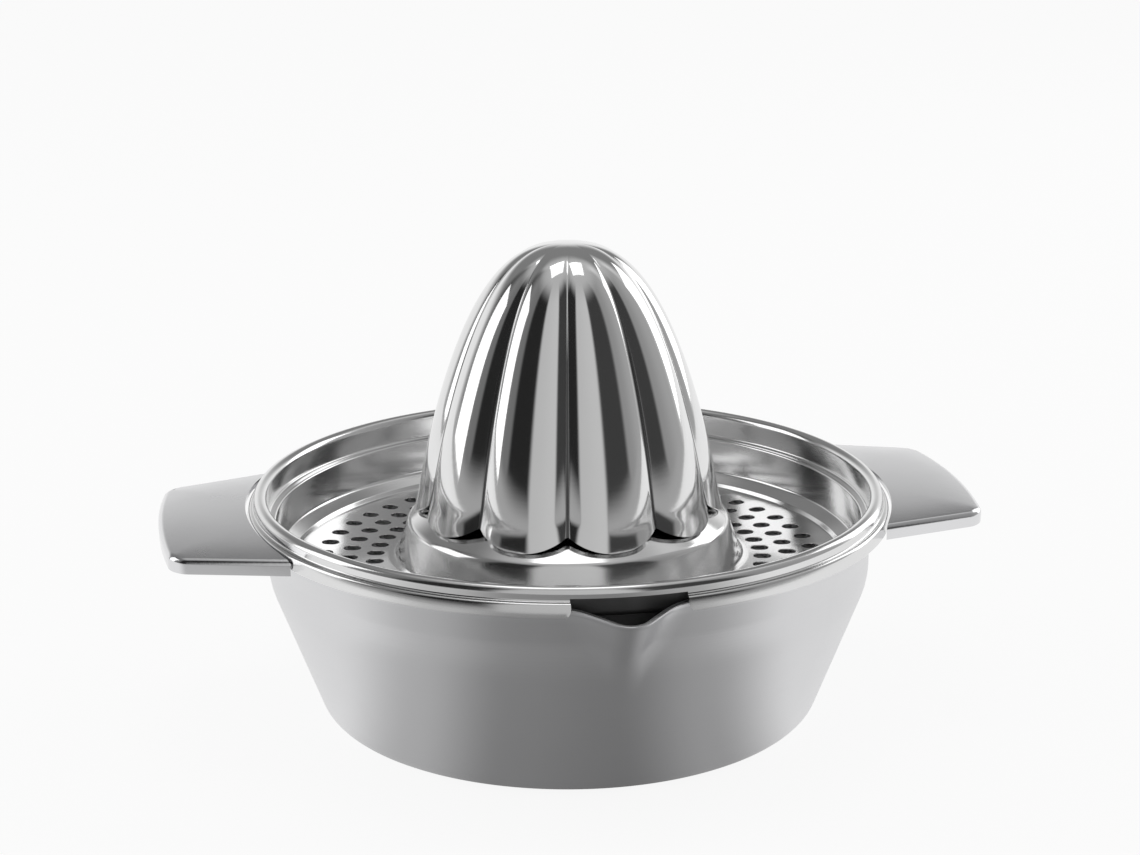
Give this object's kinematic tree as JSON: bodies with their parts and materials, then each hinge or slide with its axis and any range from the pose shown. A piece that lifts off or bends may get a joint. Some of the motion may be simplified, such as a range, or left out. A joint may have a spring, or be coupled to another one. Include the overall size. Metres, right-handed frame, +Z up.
{
  "type": "citrus squeezer",
  "caption": "Hand citrus squeezer: round juice bowl with a pressed pouring lip, a slotted strainer tray with a fluted reamer that lifts off it, and folded ear handles.",
  "frame": {"origin": "on the bowl's axis, at the underside of its flat base", "axes": "+Z up along the bowl's axis, -Y towards the pouring lip, +X towards the right ear handle"},
  "size_m": [0.1682, 0.1385, 0.0975],
  "materials": {
    "satin_steel": "satin stainless steel, faintly brushed round the bowl",
    "polished_steel": "polished stainless steel",
    "mirror_steel": "mirror-polished stainless steel",
    "handle_steel": "satin stainless steel with polished folded edges"
  },
  "bodies": {
    "bowl": {"juice_bowl": "satin_steel"},
    "insert": {"strainer_tray": "polished_steel", "fluted_reamer": "mirror_steel", "right_ear_handle": "handle_steel", "left_ear_handle": "handle_steel"}
  },
  "joints": [
    {"name": "tray_lift", "type": "slide", "parent": "bowl", "child": "insert", "axis": [0, 0, 1], "range_m": [0, 0.05]}
  ]
}
